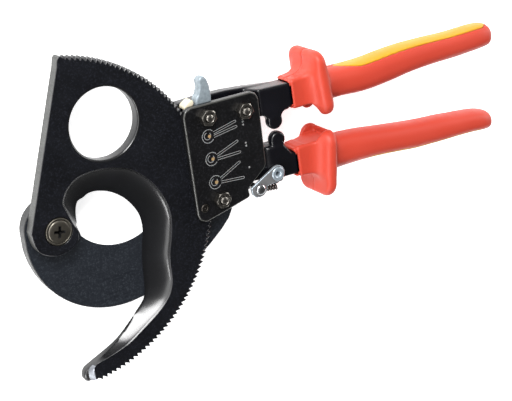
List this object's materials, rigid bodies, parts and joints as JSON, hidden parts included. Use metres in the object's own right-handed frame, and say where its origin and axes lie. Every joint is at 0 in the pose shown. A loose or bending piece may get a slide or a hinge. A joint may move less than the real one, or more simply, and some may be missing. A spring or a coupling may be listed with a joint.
{
  "type": "ratchet cable cutter",
  "caption": "Hand ratchet cable cutter: hooked fixed and toothed moving blade, bolted housing with pawls and release lever, two guarded two-colour grips.",
  "frame": {"origin": "bottom centre of the whole row's box, with the tool lying on its back and nearly closed as in the picture", "axes": "+X from the blade pivot to the handle ends, +Y towards the fixed upper handle, +Z out of the housing's front cover"},
  "size_m": [0.2762, 0.1598, 0.028],
  "materials": {
    "blade_steel": "black oxide, satin",
    "frame_steel": "dark, finely ground",
    "black_steel": "black, satin",
    "dark_steel": "browned steel",
    "zinc_steel": "bright zinc",
    "spring_steel": "dark spring wire",
    "pale_plastic": "cream",
    "grip_red": "soft satin, moulded",
    "grip_yellow": "soft satin, moulded"
  },
  "bodies": {
    "frame": {"fixed_blade": "frame_steel", "upper_handle_bar": "black_steel", "front_cover": "black_steel", "rear_cover": "black_steel", "pivot_bush": "dark_steel", "pivot_screw": "dark_steel", "pivot_washer": "dark_steel", "pivot_nut": "dark_steel", "bolt_a": "dark_steel", "bolt_b": "dark_steel", "bolt_c": "dark_steel", "nut_a": "dark_steel", "nut_b": "dark_steel", "nut_c": "dark_steel", "spacer_b": "dark_steel", "spacer_c": "dark_steel", "handle_pivot_pin": "dark_steel", "holding_pawl_pin": "dark_steel", "holding_pawl_spring": "spring_steel", "cover_rivet": "dark_steel", "upper_grip": "grip_red", "upper_grip_inlay": "grip_yellow"},
    "moving_blade": {"moving_blade": "blade_steel"},
    "lower_handle": {"lower_handle_bar": "black_steel", "lower_grip": "grip_red", "lower_grip_inlay": "grip_yellow", "latch_rivet": "zinc_steel", "drive_pawl_pin": "dark_steel", "drive_pawl_spring": "spring_steel", "latch_spring": "spring_steel"},
    "drive_pawl": {"drive_pawl": "zinc_steel"},
    "release_lever": {"release_lever": "zinc_steel", "lever_tip": "pale_plastic"},
    "holding_pawl": {"holding_pawl": "zinc_steel"},
    "latch": {"latch_plate_front": "zinc_steel", "latch_plate_rear": "zinc_steel", "latch_pin": "zinc_steel"}
  },
  "joints": [
    {"name": "blade_swing", "type": "hinge", "parent": "frame", "child": "moving_blade", "pos_m": [-0.12333, 0.0007, 0.015], "axis": [0, 0, 1], "range_deg": [-67, 160]},
    {"name": "handle_swing", "type": "hinge", "parent": "frame", "child": "lower_handle", "pos_m": [-0.02033, 0.0007, 0.015], "axis": [0, 0, 1], "range_deg": [-26, 3.4]},
    {"name": "drive_pawl_tilt", "type": "hinge", "parent": "lower_handle", "child": "drive_pawl", "pos_m": [-0.03283, 0.0042, 0.0164], "axis": [0, 0, 1], "range_deg": [0, 12], "deforming": ["drive_pawl_spring"]},
    {"name": "lever_pull", "type": "hinge", "parent": "frame", "child": "release_lever", "pos_m": [-0.04113, 0.0327, 0.0155], "axis": [0, 0, 1], "range_deg": [-12, 0]},
    {"name": "holding_pawl_tilt", "type": "hinge", "parent": "frame", "child": "holding_pawl", "pos_m": [-0.03633, 0.0217, 0.0134], "axis": [0, 0, 1], "range_deg": [0, 17], "deforming": ["holding_pawl_spring"]},
    {"name": "latch_swing", "type": "hinge", "parent": "lower_handle", "child": "latch", "pos_m": [-0.00673, -0.0073, 0.014], "axis": [0, 0, 1], "range_deg": [-5.6, 42], "deforming": ["latch_spring"]}
  ],
  "couplings": [
    {"joint": "holding_pawl_tilt", "follows": "lever_pull", "ratio": -1.4},
    {"joint": "latch_swing", "follows": "handle_swing", "ratio": -1.6}
  ]
}
